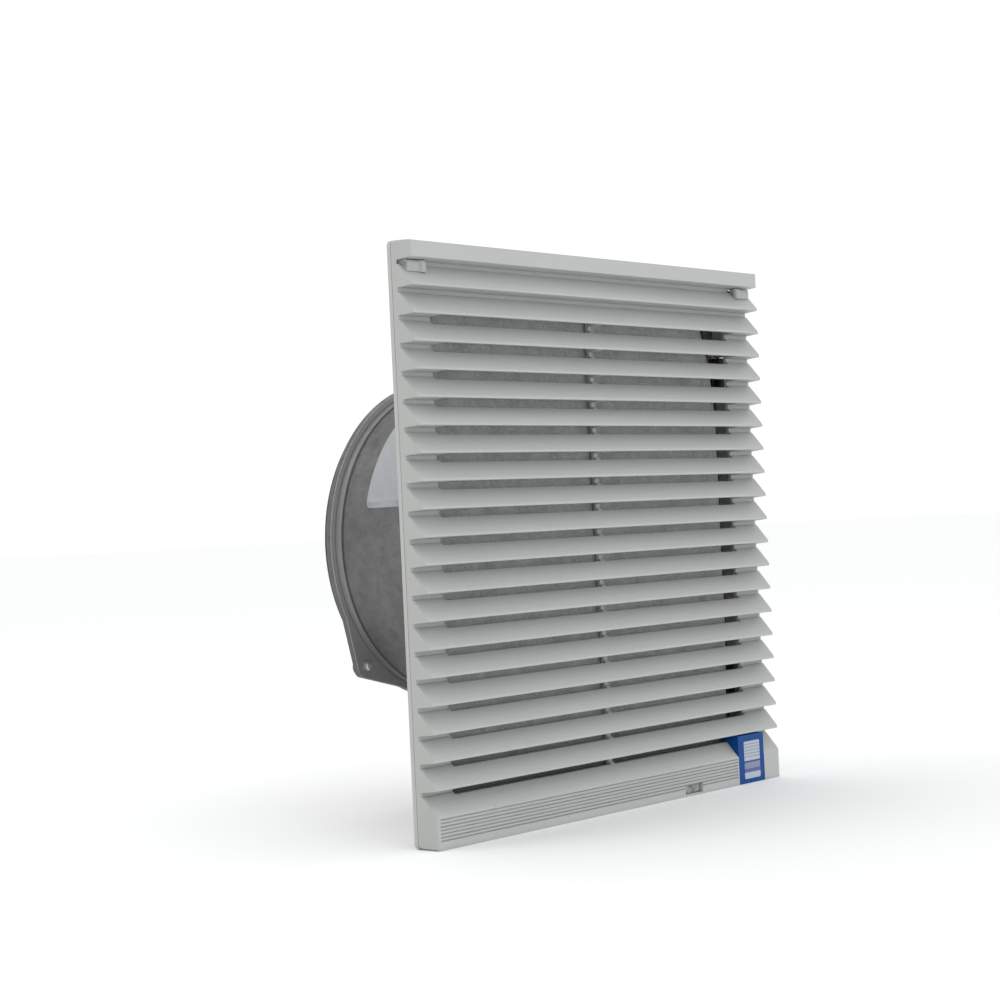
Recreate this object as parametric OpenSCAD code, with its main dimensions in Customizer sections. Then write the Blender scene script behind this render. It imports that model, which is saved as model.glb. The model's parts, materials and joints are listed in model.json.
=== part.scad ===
// Cabinet filter fan: louvred hinged front cover, filter mat, panel frame, funnel hood and axial fan.
// Frame: origin at the centre of the panel plane, X to the right, Y into the cabinet, Z up. Millimetres.

/* [Front cover] */
// outer side of the square cover and flange
cover_w = 320; // [200:1:400]
// how far the cover stands in front of the panel
cover_front = 16.2; // [10:0.1:30]
// height of the plain band at the top
top_band = 9.8; // [6:0.1:20]
// number of louvre gaps
louvre_n = 20; // [6:1:24]
// spacing of the louvres
louvre_pitch = 14.7; // [10:0.1:24]
// depth from the panel to the bottom of a louvre gap
gap_floor = 6.0; // [4:0.1:10]
// thickness of a louvre blade
blade_t = 2.0; // [1:0.1:4]
// half width of the open slots
slot_half = 135.6; // [80:0.1:150]
// width of the middle rib
rib_w = 3.6; // [2:0.1:8]
// number of closed gaps at the top
closed_n = 2; // [0:1:4]
// corner radius seen from the front
corner_r = 3; // [1:0.5:10]
// draft of the side walls over the cover depth
draft = 1.0; // [0:0.1:3]

/* [Lower strip] */
// number of fine grooves
groove_n = 7; // [0:1:8]
// spacing of the grooves
groove_pitch = 1.84; // [1.2:0.01:2]
// left edge of the coloured insert
insert_x0 = 114.6; // [60:0.1:130]
// right edge of the coloured insert
insert_x1 = 142.0; // [100:0.1:155]
// height of the coloured insert
insert_h = 30; // [16:0.5:40]

/* [Panel frame] */
// thickness of the flange
flange_t = 2.5; // [2:0.1:6]
// side of the collar that enters the panel cut-out
collar_w = 290.4; // [150:0.1:380]
// depth of the collar behind the panel
collar_d = 11.8; // [8:0.1:14]
// wall of the collar
collar_t = 2.4; // [1.5:0.1:4]
// half spacing of the screw holes along X
bolt_x = 148.2; // [120:0.1:155]
// half spacing of the screw holes along Z
bolt_z = 120; // [60:0.5:150]
// radius of the screw holes
bolt_r = 1.75; // [1:0.05:3]

/* [Cover hinge and latches] */
// hinge axis in front of the panel
hinge_y = -5.6; // [-8:0.1:-4]
// hinge axis below the middle
hinge_z = -157.1; // [-158:0.1:-150]
// radius of the hinge pins
hinge_pin_r = 1.25; // [0.8:0.05:2]
// left and right place of the hinge ears
hinge_x = 100; // [40:1:140]
// running clearance on radius
run_gap = 0.05; // [0.02:0.01:0.1]

/* [Hood] */
// half width of the funnel at the front
hood_front = 131; // [100:1:140]
// half width of the funnel at the rear
hood_rear = 104; // [80:1:120]
// rear face of the funnel
hood_y = 52; // [30:1:80]

/* [Fan] */
// outer radius of the fan tube
tube_r = 92; // [60:0.5:110]
// inner radius of the fan tube
tube_in = 89; // [55:0.5:107]
// rear face of the fan tube
tube_y = 121; // [80:1:160]
// radius of the rear flange
flange_r = 97; // [65:0.5:115]
// front face of the rear flange
flange_y = 117; // [70:0.5:158]
// number of fan blades
fan_n = 7; // [3:1:11]
// tip radius of the blades
fan_tip = 86.4; // [50:0.1:100]
// outer radius of the rotor can
can_r = 45; // [30:0.5:60]
// radius of the motor shaft
shaft_r = 4; // [2:0.5:8]

/* [Hidden] */
h = cover_w / 2;
yf = -cover_front;
yr = -flange_t - 0.3;
yb = -gap_floor;
yw = -gap_floor + 1.8;
tip0 = h - top_band;
slope = (louvre_pitch - 4.35) / (cover_front - gap_floor - 0.95);
in_off = blade_t * sqrt(1 + slope * slope) / slope;
cin = collar_w / 2 - collar_t;
hood_k = (hood_front - hood_rear) / (hood_y - 14);
boss_p = 138.6;
clip_z = 95;
clip_px = 142.0;
clip_py = 9.2;
lead_a = 20;
lead_y = 107.4;
lug_a = [90, 225, 315];
post_p = [[25.6, 17.4], [40, 72.6]];
function tip(i) = tip0 - louvre_pitch * i;
// inner surface of the blade whose lower tip is at t
function y_in(t, z) = yf + in_off + (z - t - 1) / slope;
function z_in(t, y) = t + 1 + (y - yf - in_off) * slope;
function hood_at(y) = hood_front - (y - 14) * hood_k;
// a swept round wire: rings of n points around each point of a path
function unit(v) = v / norm(v);
function tang(p, i) = unit(p[min(i + 1, len(p) - 1)] - p[max(i - 1, 0)]);
function side_a(t) = unit(cross(t, abs(t[2]) < 0.9 ? [0, 0, 1] : [1, 0, 0]));
function spline(p, i, u) = let (a = p[max(i - 1, 0)], b = p[i], c = p[i + 1], d = p[min(i + 2, len(p) - 1)])
    0.5 * (2 * b + (c - a) * u + (2 * a - 5 * b + 4 * c - d) * u * u + (3 * b - 3 * c + d - a) * u * u * u);
function smooth(p, k) = concat([for (i = [0:len(p) - 2]) for (j = [0:k - 1]) spline(p, i, j / k)], [p[len(p) - 1]]);

// helpers: plate in XZ between two Y, bar along X from a YZ outline, post along Z from an XY outline, revolve about Y
module slab(a, b) { translate([0, b, 0]) rotate([90, 0, 0]) linear_extrude(height = b - a) children(); }
module bar(a, b) { translate([a, 0, 0]) rotate([90, 0, 90]) linear_extrude(height = b - a) children(); }
module post(a, b) { translate([0, 0, a]) linear_extrude(height = b - a) children(); }
module rev(n = 96) { rotate([-90, 0, 0]) rotate_extrude($fn = n) children(); }
module ycyl(x, z, a, b, r, n = 32) { translate([x, a, z]) rotate([-90, 0, 0]) cylinder(h = b - a, r = r, $fn = n); }
module xcyl(y, z, a, b, r, n = 32) { translate([a, y, z]) rotate([0, 90, 0]) cylinder(h = b - a, r = r, $fn = n); }
module rrect(w, d, r) {
    square([w - 2 * r, d], center = true);
    square([w, d - 2 * r], center = true);
    for (x = [-1, 1]) for (z = [-1, 1]) translate([x * (w / 2 - r), z * (d / 2 - r)]) circle(r = r, $fn = 32);
}
module four(r, a = 45) { for (i = [0:3]) rotate([0, a + 90 * i, 0]) translate([r, 0, 0]) children(); }
module three(r) { for (a = lug_a) rotate([0, -a, 0]) translate([r, 0, 0]) children(); }
// square funnel solid: half width follows the hood, moved out by g
module funnel(a, b, g) {
    intersection() {
        post(-h, h) polygon([[-hood_at(a) - g, a], [hood_at(a) + g, a], [hood_at(b) + g, b], [-hood_at(b) - g, b]]);
        bar(-h, h) polygon([[a, -hood_at(a) - g], [a, hood_at(a) + g], [b, hood_at(b) + g], [b, -hood_at(b) - g]]);
    }
}
// lug outline: small circle at distance d joined to a disc of radius r1 by its tangents
module lug2d(r1, r2, d) {
    be = acos((r1 - r2) / d);
    translate([d, 0]) circle(r = r2, $fn = 32);
    polygon([[0, 0], [r1 * cos(be), r1 * sin(be)], [d + r2 * cos(be), r2 * sin(be)], [d + r2 * cos(be), -r2 * sin(be)], [r1 * cos(be), -r1 * sin(be)]]);
}
module lugs2d(r1, r2, d) { circle(r = r1, $fn = 96); for (i = [0:3]) rotate(45 + 90 * i) lug2d(r1, r2, d); }
module wire(path, r, n) {
    m = len(path);
    pts = concat([for (i = [0:m - 1]) let (t = tang(path, i), a = side_a(t), b = cross(t, a)) for (k = [0:n - 1]) path[i] + r * (cos(360 * k / n) * a + sin(360 * k / n) * b)], [path[0], path[m - 1]]);
    f = concat([for (i = [0:m - 2]) for (k = [0:n - 1]) [i * n + k, (i + 1) * n + k, (i + 1) * n + (k + 1) % n]],
        [for (i = [0:m - 2]) for (k = [0:n - 1]) [i * n + k, (i + 1) * n + (k + 1) % n, i * n + (k + 1) % n]],
        [for (k = [0:n - 1]) [m * n, k, (k + 1) % n]], [for (k = [0:n - 1]) [m * n + 1, (m - 1) * n + (k + 1) % n, (m - 1) * n + k]]);
    polyhedron(points = pts, faces = f, convexity = 6);
}
module pan_screw(r, hh, s, l) {
    rev(32) { square([r * 0.55, hh]); square([r, hh * 0.55]); intersection() { translate([0, hh - r * 1.18]) circle(r = r * 1.18, $fn = 64); square([r, hh]); } }
    ycyl(0, 0, -l, 0.1, s, 24);
}

// outline of one louvre gap in YZ, open to the front
module gap2d(i) {
    t = tip(i);
    u = tip(i + 1);
    polygon([[yf - 2, t + 0.35], [yf, t + 0.35], [yf + 0.1, t + 0.12], [yf + 0.35, t], [yb, t - 0.8], [yb, t - 3.3], [yb - 0.7, t - 3.22],
        [yb - 0.95, t - 3.42], [yf + 0.5, u + 1 + 0.5 * slope], [yf + 0.12, u + 0.95], [yf, u + 0.55], [yf - 2, u + 0.55]]);
}
// air window behind the blade above an open gap
module window2d(i) {
    t = tip(i);
    polygon([[y_in(t, t - 0.2), t - 0.2], [yr + 0.5, z_in(t, yr + 0.5)], [yr + 0.5, t - 4.5], [yb - 3, t - 4.5], [yb - 3, t - 0.75]]);
}
module cover_outline() {
    r = 1.1;
    // the lower edge has no draft and is only just broken
    e = 0.4;
    intersection() {
        slab(yf, yr) rrect(cover_w, cover_w, corner_r);
        bar(-h, h) union() {
            polygon([[yr, -h], [yr, h], [yf + r, h - draft], [yf, h - draft - r], [yf, -h + e], [yf + e, -h]]);
            translate([yf + r, h - draft - r]) circle(r = r, $fn = 48);
            translate([yf + e, -h + e]) circle(r = e, $fn = 32);
        }
        post(-h, h) union() {
            polygon([[-h, yr], [h, yr], [h - draft, yf + r], [h - draft - r, yf], [-h + draft + r, yf], [-h + draft, yf + r]]);
            for (s = [-1, 1]) translate([s * (h - draft - r), yf + r]) circle(r = r, $fn = 48);
        }
    }
}
module insert_box(g) {
    translate([insert_x0 - g, yf - 1, -h - 1]) cube([insert_x1 - insert_x0 + 2 * g, cover_front - 9 + 1 + g, insert_h + 1 + g]);
    translate([insert_x0 - g, yf - 1, -h + insert_h - 17 - g]) cube([insert_x1 - insert_x0 + 2 * g, cover_front - 4 + 1 + g, 17 + 2 * g]);
}

// the cover: outer skin, louvre gaps, air windows, grooves and pockets
module louvre_grille() {
    color([0.74, 0.75, 0.74]) difference() {
        cover_outline();
        for (i = [0:louvre_n - 1]) bar(-h - 1, h + 1) gap2d(i);
        for (i = [closed_n:louvre_n - 1]) {
            bar(rib_w / 2, slot_half) window2d(i);
            bar(-slot_half, -rib_w / 2) window2d(i);
        }
        // shallow recess at the back
        slab(yw, 0) translate([0, 4]) square([300, 292], center = true);
        // round lower rear edge about the hinge axis
        bar(-h - 1, h + 1) difference() {
            translate([hinge_y, hinge_z - 6]) square([8, 6]);
            translate([hinge_y, hinge_z]) circle(r = 2.8, $fn = 48);
        }
        for (s = [-1, 1]) {
            translate([s * hinge_x - 4.5, -9, -h - 1]) cube([9, 9, 7.4]);
            xcyl(hinge_y, hinge_z, s * hinge_x - 11.5, s * hinge_x + 11.5, hinge_pin_r + run_gap);
            // slot for the latch stem
            translate([s > 0 ? 141 : -152.6, yb - 0.5, 147.1]) cube([11.6, 4.2, 2.15]);
            translate([s > 0 ? 157.7 : -159.0, yb - 0.5, 145.8]) cube([1.3, 3.2, 3.5]);
        }
        for (k = [0:groove_n - 1]) bar(-156.8, insert_x0 - 1.4) translate([yf, -h + 16 - groove_pitch * k]) polygon([[-0.5, -0.46], [0, -0.42], [0.75, -0.14], [0.75, 0.14], [0, 0.42], [-0.5, 0.46]]);
        insert_box(0.12);
        // opening slot in the lower strip
        translate([58, yf - 1, -h + 1.2]) cube([17.5, 4.2, 5.4]);
    }
    // seats for the latch springs
    color([0.74, 0.75, 0.74]) for (s = [-1, 1]) translate([s * 132 - 1, yw - 0.1, 146.6]) cube([2, 1.2, 3.4]);
}
module colour_insert() {
    color([0.12, 0.25, 0.6]) difference() {
        intersection() { cover_outline(); insert_box(0); }
        slab(yf - 1, yf + 0.35) translate([128.95, -h + 14.45]) rrect(17.1, 23.5, 1.2);
    }
}
module insert_panel() { color([0.95, 0.95, 0.95]) slab(yf - 0.05, yf + 0.33) translate([128.95, -h + 14.45]) rrect(16.9, 23.3, 1.1); }
module dark_plate() { color([0.3, 0.3, 0.29]) slab(yf + 2.3, yf + 3.15) translate([66.75, -h + 3.9]) rrect(17.1, 5.0, 0.8); }

// thumb latch in the first gap, drawn for the left side
module latch_shape() {
    difference() {
        union() {
            bar(-157, -143.4) polygon([[-6.35, 149.0], [-9.6, 149.38], [-10.35, 149.2], [-10.85, 148.75], [-11.12, 148.1], [-11.2, 147.3], [-11.2, 144.0], [-11.12, 143.45], [-10.9, 143.12],
                [-10.55, 143.15], [-10.2, 143.4], [-7.3, 147.0], [-6.35, 147.3]]);
            // raised round end
            intersection() {
                post(130, 160) translate([-144.9, -10.2]) circle(r = 2.4, $fn = 48);
                bar(-150, -140) polygon([[-7.8, 149.15], [-11.0, 149.3], [-11.7, 149.12], [-12.2, 148.75], [-12.5, 148.2], [-12.6, 147.5], [-12.6, 144.3], [-12.5, 143.65], [-12.2, 143.15], [-11.7, 142.85], [-11.2, 142.9],
                    [-10.2, 143.4], [-7.8, 146.4]]);
            }
        }
        // fan of fine grooves on the outer end
        for (a = [7.9, 21.6, 33, 42.2]) translate([-157.3, -6.9, 148.3]) rotate([a, 0, 0]) translate([0, -6, -0.2]) cube([0.65, 5.4, 0.4]);
    }
    translate([-152, -6.5, 147.5]) cube([6, 5.9, 1.4]);
    translate([-153.2, -2.0, 147.5]) cube([1.4, 1.4, 1.4]);
}
module latch_left() { color([0.70, 0.71, 0.70]) latch_shape(); }
module latch_right() { color([0.70, 0.71, 0.70]) mirror([1, 0, 0]) latch_shape(); }
// flat zigzag spring between latch stem and cover seat
module spring_shape() {
    n = 8;
    up = [for (i = [0:n]) [-145.9 + i * 1.6, 148.2 + (i % 2 == 0 ? -0.95 : 0.95)]];
    color([0.6, 0.6, 0.62]) slab(-3.95, -3.15) polygon(concat([for (p = up) p + [0, 0.3]], [for (i = [n:-1:0]) up[i] - [0, 0.3]]));
}
module latch_spring_left() { spring_shape(); }
module latch_spring_right() { mirror([1, 0, 0]) spring_shape(); }

// panel frame: flange, collar, hinge ears, clip windows and corner bosses
module mounting_frame() {
    color([0.68, 0.69, 0.68]) difference() {
        union() {
            slab(-flange_t, 0) rrect(cover_w, cover_w, corner_r);
            slab(-0.1, collar_d) rrect(collar_w, collar_w, 8);
            for (s = [-1, 1]) {
                translate([s * hinge_x - 4, hinge_y, hinge_z - 2.5]) cube([8, -hinge_y - 1, 5]);
                xcyl(hinge_y, hinge_z, s * hinge_x - 4, s * hinge_x + 4, 2.5);
            }
        }
        difference() {
            slab(-flange_t - 1, collar_d + 1) rrect(2 * cin, 2 * cin, 5.6);
            for (x = [-1, 1]) for (z = [-1, 1]) {
                ycyl(x * boss_p, z * boss_p, 0, collar_d, 4.6);
                for (e = [-1, 1]) translate([x * clip_px, clip_py, z * clip_z + e * 13.9 - 1.5]) cylinder(h = 3, r = 2.3, $fn = 32);
            }
        }
        // gasket groove, screw holes, latch openings
        slab(-1.5, 1) difference() { rrect(314, 314, 3); square([303, 303], center = true); }
        for (x = [-1, 1]) for (z = [-1, 1]) {
            ycyl(x * bolt_x, z * bolt_z, -flange_t - 1, 1, bolt_r);
            ycyl(x * boss_p, z * boss_p, 2.5, collar_d + 1, 1.25);
            translate([x * clip_px, clip_py, z * clip_z - 15]) cylinder(h = 30, r = 1, $fn = 32);
            translate([x > 0 ? 142 : -146, 0, z * clip_z - 12]) cube([4, collar_d + 1, 24]);
        }
        for (s = [-1, 1]) {
            translate([s > 0 ? 139.6 : -154.6, -flange_t - 1, 146.4]) cube([15, flange_t + 2, 3.6]);
            xcyl(hinge_y, hinge_z, s * hinge_x - 5, s * hinge_x + 5, hinge_pin_r);
        }
    }
}
module hinge_pins() { color([0.75, 0.75, 0.77]) for (s = [-1, 1]) xcyl(hinge_y, hinge_z, s * hinge_x - 11, s * hinge_x + 11, hinge_pin_r); }
module clip_pins() { color([0.75, 0.75, 0.77]) for (x = [-1, 1]) for (z = [-1, 1]) translate([x * clip_px, clip_py, z * clip_z - 15]) cylinder(h = 30, r = 1, $fn = 32); }
// panel clip, drawn for the top right
module clip_shape() {
    difference() {
        post(clip_z - 11.6, clip_z + 11.6) union() {
            translate([clip_px, clip_py]) circle(r = 2, $fn = 48);
            polygon([[140.6, 8.4], [140.6, 2.7], [148.1, 2.7], [148.6, 3.3], [144.4, 9.9], [143.2, 10.7], [142, 11.1]]);
        }
        translate([clip_px, clip_py, clip_z - 15]) cylinder(h = 30, r = 1 + run_gap, $fn = 32);
        // relief in the middle of the clip
        translate([139, 4.6, clip_z - 6]) cube([3.2, 2.4, 12]);
    }
}
module clip_top_right() { color([0.16, 0.17, 0.18]) clip_shape(); }
module clip_top_left() { color([0.16, 0.17, 0.18]) mirror([1, 0, 0]) clip_shape(); }
module clip_bottom_right() { color([0.16, 0.17, 0.18]) mirror([0, 0, 1]) clip_shape(); }
module clip_bottom_left() { color([0.16, 0.17, 0.18]) mirror([1, 0, 0]) mirror([0, 0, 1]) clip_shape(); }
module panel_gasket() {
    color([0.1, 0.1, 0.1]) slab(-1.5, -0.02) difference() {
        rrect(313.9, 313.9, 3);
        square([303.1, 303.1], center = true);
        for (s = [-1, 1]) translate([s > 0 ? 139.4 : -154.8, 146.2]) square([15.4, 4]);
    }
}

module filter_mat() {
    color([0.32, 0.34, 0.33]) difference() {
        slab(-3.2, 8.3) square([272.4, 272.4], center = true);
        for (x = [-1, 1]) for (z = [-1, 1]) ycyl(x * boss_p, z * boss_p, -5, 10, 5.2);
    }
}
module filter_support_grid() {
    color([0.2, 0.21, 0.22]) difference() {
        slab(8.35, 10.8) union() {
            difference() { rrect(2 * cin - 0.2, 2 * cin - 0.2, 5.6); square([266, 266], center = true); }
            for (k = [-3:3]) { translate([k * 33.5, 0]) square([2.6, 270], center = true); translate([0, k * 33.5]) square([270, 2.6], center = true); }
        }
        for (x = [-1, 1]) for (z = [-1, 1]) {
            ycyl(x * boss_p, z * boss_p, 8, 12, 4.8);
            translate([x > 0 ? 137.2 : -147.2, 8, z * clip_z - 17]) cube([10, 4, 34]);
        }
    }
}

module air_hood() {
    color([0.68, 0.69, 0.68]) difference() {
        union() {
            slab(collar_d, 14) rrect(collar_w, collar_w, 8);
            funnel(13.9, hood_y, 0);
        }
        funnel(collar_d - 1, hood_y - 2.4, -2.9);
        ycyl(0, 0, hood_y - 4, hood_y + 1, 90.5, 96);
        for (x = [-1, 1]) for (z = [-1, 1]) ycyl(x * boss_p, z * boss_p, collar_d - 1, 15, 1.6);
        four(116) ycyl(0, 0, hood_y - 4, hood_y + 1, 2.0);
    }
}
module hood_screws() { color([0.72, 0.72, 0.74]) for (x = [-1, 1]) for (z = [-1, 1]) translate([x * boss_p, 14, z * boss_p]) pan_screw(3, 2.2, 1.25, 9.5); }

module fan_housing() {
    color([0.5, 0.51, 0.52]) difference() {
        union() {
            rev(128) polygon([[80, hood_y], [98, hood_y], [98, hood_y + 4], [94.5, hood_y + 4], [tube_r, hood_y + 6.5], [tube_r, 112.6], [tube_r + 1, 113], [tube_r + 1.2, flange_y], [flange_r, flange_y], [flange_r, tube_y], [80, tube_y]]);
            slab(hood_y, hood_y + 4) lugs2d(98, 8, 116);
            slab(flange_y, tube_y) { circle(r = flange_r, $fn = 96); for (a = lug_a) rotate(a) lug2d(flange_r - 2, 5, 104.5); }
        }
        rev(128) polygon([[0, hood_y - 1], [90.5, hood_y - 1], [90.5, hood_y], [tube_in, hood_y + 5], [tube_in, tube_y - 3], [tube_in + 0.8, tube_y], [tube_in + 0.8, tube_y + 1], [0, tube_y + 1]]);
        four(116) ycyl(0, 0, hood_y - 1, hood_y + 5, 2.2);
        three(102) ycyl(0, 0, 110, tube_y + 1, 1.7);
        rotate([0, -lead_a, 0]) xcyl(lead_y, 0, 85, 95, 3.4);
    }
}
module fan_screws() { color([0.72, 0.72, 0.74]) four(116) translate([0, hood_y + 4, 0]) pan_screw(3.6, 2.6, 1.9, 10.4); }
module fan_nuts() { color([0.72, 0.72, 0.74]) four(116) difference() { ycyl(0, 0, hood_y - 5.4, hood_y - 2.4, 3.9, 6); ycyl(0, 0, hood_y - 6, hood_y, 1.9, 24); } }
// screw heads on the front faces of the rear lugs
module guard_screws() { color([0.72, 0.72, 0.74]) three(102) translate([0, flange_y, 0]) mirror([0, 1, 0]) pan_screw(2.8, 2.4, 1.5, 9.9); }
module guard_nuts() { color([0.72, 0.72, 0.74]) three(102) difference() { ycyl(0, 0, tube_y + 2, tube_y + 4.4, 3.2, 6); ycyl(0, 0, tube_y, tube_y + 7, 1.5, 24); } }
module rear_guard() {
    color([0.1, 0.1, 0.11]) difference() {
        union() {
            slab(tube_y, tube_y + 2) circle(r = 46, $fn = 96);
            three(0) {
                rotate([0, 90, 0]) translate([0, tube_y + 2, 38]) cylinder(h = 66, r = 1.9, $fn = 24);
                ycyl(102, 0, tube_y, tube_y + 2, 6);
            }
            for (r = [56, 68, 80, 92]) rev(96) translate([r, tube_y + 4.2]) circle(r = 1.45, $fn = 20);
        }
        three(102) ycyl(0, 0, tube_y - 1, tube_y + 9, 1.7);
        three(0) translate([102, tube_y + 2, 0]) ycyl(0, 0, 0, 5, 3.7);
        four(34) ycyl(0, 0, tube_y - 1, tube_y + 9, 2.0);
        four(24, 0) ycyl(0, 0, tube_y - 1, tube_y + 3, 5);
        ycyl(0, 0, tube_y - 1, tube_y + 3, 11);
    }
}
// blank rating plate wrapped on the tube
module rating_label() {
    color([0.85, 0.86, 0.88]) intersection() {
        rev(128) translate([tube_r + 0.05, 50]) square([0.3, 60]);
        rotate([0, -133.05, 0]) translate([70, 76.8, 0]) rotate([0, 90, 0]) linear_extrude(height = 30) rrect(102.4, 34.6, 3);
    }
}

// motor: fixed flange with bearing tube, stator, turning can with cage
module stator_flange() {
    color([0.62, 0.63, 0.65]) difference() {
        union() {
            rev() polygon([[11, 70], [13, 70], [13, 107.6], [42.9, 107.5], [44, 108.6], [44, 111], [42.5, 112.5], [16, 112.5], [14, 114.6], [0, 114.6], [0, 112.6], [11, 112.6]]);
            four(34) ycyl(0, 0, 112, tube_y, 5);
            rotate([0, -lead_a, 0]) xcyl(110.4, 0, 30, 47, 2.9);
        }
        rev() polygon([[0, 69], [11, 69], [11, 112.6], [0, 112.6]]);
        four(34) ycyl(0, 0, 113.2, tube_y + 1, 1.7);
        rotate([0, -lead_a, 0]) xcyl(110.4, 0, 36, 48, 2.05, 24);
    }
}
module stator_core() {
    color([0.42, 0.42, 0.44]) difference() {
        rev() translate([13.05, 77]) square([27.15, 20]);
        for (i = [0:11]) rotate([0, 30 * i, 0]) translate([28, 76, -2.6]) cube([9.4, 22, 5.2]);
    }
}
module stator_windings() { color([0.62, 0.3, 0.13]) { rev() translate([27.5, 71.3]) circle(r = 5.5, $fn = 40); rev() translate([27.5, 102.3]) circle(r = 5.0, $fn = 40); for (i = [0:11]) rotate([0, 30 * i, 0]) translate([28.2, 76.6, -2.3]) cube([8.8, 20.8, 4.6]); } }
module bearing(a) { color([0.7, 0.7, 0.72]) rev(64) difference() { translate([shaft_r + 0.04, a]) square([6.96 - 0.04, 7]); translate([5.6, a - 1]) square([3.8, 1.5]); translate([5.6, a + 6.5]) square([3.8, 1.5]); } }
module front_bearing() { bearing(70.6); }
module rear_bearing() { bearing(103.6); }
module motor_screws() { color([0.72, 0.72, 0.74]) four(34) translate([0, tube_y + 2, 0]) pan_screw(3.3, 2.4, 1.7, 9.4); }
module rotor_can() { color([0.13, 0.13, 0.14]) rev(128) polygon([[shaft_r + 0.03, 62], [42.4, 62], [44.3, 62.8], [can_r, 64.6], [can_r, 106.5], [42.8, 106.5], [42.8, 64.4], [9, 64.4], [8.6, 69.4], [shaft_r + 0.03, 69.4]]); }
module rotor_cage() { color([0.45, 0.45, 0.47]) rev(128) translate([40.7, 75.5]) square([2.1, 23]); }
module motor_shaft() { color([0.8, 0.8, 0.82]) ycyl(0, 0, 62.4, 112.2, shaft_r, 48); }
module retaining_ring() { color([0.3, 0.3, 0.32]) rev(48) translate([shaft_r + 0.03, 110.9]) square([2, 0.9]); }
// one blade: grid of points, two skins and a closed rim
fs = 9;
fc = 12;
function bl_r(s) = can_r - 0.4 + (fan_tip - can_r + 0.4) * s;
function bl_p(s, t, side) = let (r = bl_r(s), g = 41 - 15 * s, c = 46 + 12 * s, cam = (0.25 - t * t) * 7 * (1 - 0.3 * s),
        ang = 26 * (1 - (1 - s) * (1 - s)) * 0.6 + t * c * cos(g) / r * 180 / PI, th = side * (0.35 + 0.75 * (1 - 4 * t * t * t * t * 4)) / cos(g))
    [r * cos(ang), 85.5 + t * c * sin(g) - cam + th, r * sin(ang)];
module blade() {
    w = fc + 1;
    m = (fs + 1) * w;
    pts = concat([for (i = [0:fs]) for (j = [0:fc]) bl_p(i / fs, j / fc - 0.5, 1)], [for (i = [0:fs]) for (j = [0:fc]) bl_p(i / fs, j / fc - 0.5, -1)]);
    top = [for (i = [0:fs - 1]) for (j = [0:fc - 1]) each [[i * w + j, i * w + j + 1, (i + 1) * w + j + 1], [i * w + j, (i + 1) * w + j + 1, (i + 1) * w + j]]];
    low = [for (f = top) [f[0] + m, f[2] + m, f[1] + m]];
    rim = concat([for (j = [0:fc - 1]) each [[j + 1, j, m + j], [j + 1, m + j, m + j + 1]]],
        [for (j = [0:fc - 1]) let (k = fs * w) each [[k + j, k + j + 1, m + k + j], [k + j + 1, m + k + j + 1, m + k + j]]],
        [for (i = [0:fs - 1]) let (a = i * w, b = a + w) each [[a, b, m + a], [b, m + b, m + a]]],
        [for (i = [0:fs - 1]) let (a = i * w + fc, b = a + w) each [[b, a, m + a], [b, m + a, m + b]]]);
    polyhedron(points = pts, faces = concat(top, low, rim), convexity = 4);
}
module fan_blades() { color([0.13, 0.13, 0.14]) for (i = [0:fan_n - 1]) rotate([0, 360 / fan_n * i, 0]) blade(); }

// lead from the motor through the tube wall to the terminal box
module motor_lead() {
    ca = cos(lead_a);
    sa = sin(lead_a);
    p = [[38 * ca, 110.4, 38 * sa], [50 * ca, 110.4, 50 * sa], [66 * ca, 109, 66 * sa], [80 * ca, lead_y, 80 * sa], [86 * ca, lead_y, 86 * sa], [91 * ca, lead_y, 91 * sa], [95.5 * ca, lead_y, 95.5 * sa],
        [99 * ca, 105.6, 99 * sa], [100.2 * ca, 101.5, 100.2 * sa], [99.4 * ca, 92, 99.4 * sa], [97.2 * ca, 78, 97.2 * sa], [97 * ca, 66, 97 * sa], [97.5, 59, 33.2], [106, 54.5, 33.2], [114.5, 50.5, 33.2], [117, 46, 33.2], [117, 42.5, 33.2]];
    color([0.07, 0.07, 0.08]) wire(smooth(p, 5), 1.85, 10);
}
module lead_grommet() { color([0.06, 0.06, 0.06]) rotate([0, -lead_a, 0]) translate([0, lead_y, 0]) rotate([0, 90, 0]) rotate_extrude($fn = 48) polygon([[2.2, 87.4], [4.6, 87.4], [4.6, 88.5], [3.3, 88.7], [3.3, 92.2], [4.6, 92.5], [4.6, 93.6], [2.2, 93.6]]); }
module terminal_box() {
    color([0.2, 0.21, 0.22]) difference() {
        translate([100, 20, 12]) cube([36, 26, 66]);
        funnel(10, 60, 0.02);
        difference() {
            translate([90, 22, 14]) cube([50, 22, 62]);
            funnel(10, 60, 2.9);
            for (p = post_p) xcyl(p[0], p[1], 90, 136, 3.2);
        }
        for (p = post_p) xcyl(p[0], p[1], 126, 140, 1.23, 24);
        translate([126, 37, 0]) cylinder(h = 20, r = 6.05, $fn = 32);
        ycyl(117, 33.2, 43, 47, 2.0, 24);
    }
}
module terminal_cover() {
    color([0.2, 0.21, 0.22]) difference() {
        bar(136, 138.2) translate([33, 45]) rrect(26, 66, 2);
        for (p = post_p) xcyl(p[0], p[1], 130, 140, 1.5, 24);
    }
}
module cover_screws() { color([0.72, 0.72, 0.74]) for (p = post_p) translate([138.2, p[0], p[1]]) rotate([0, 0, -90]) pan_screw(2.6, 1.8, 1.2, 10); }
module terminal_strip() {
    color([0.85, 0.84, 0.8]) difference() {
        translate([114, 30, 42]) cube([18, 13.9, 26]);
        funnel(10, 60, 2.95);
        for (k = [0:2]) { xcyl(37, 46.5 + 8.5 * k, 127, 134, 2.05, 24); translate([130, 40, 46.5 + 8.5 * k - 1.7]) cube([4, 5, 3.4]); }
    }
}
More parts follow.
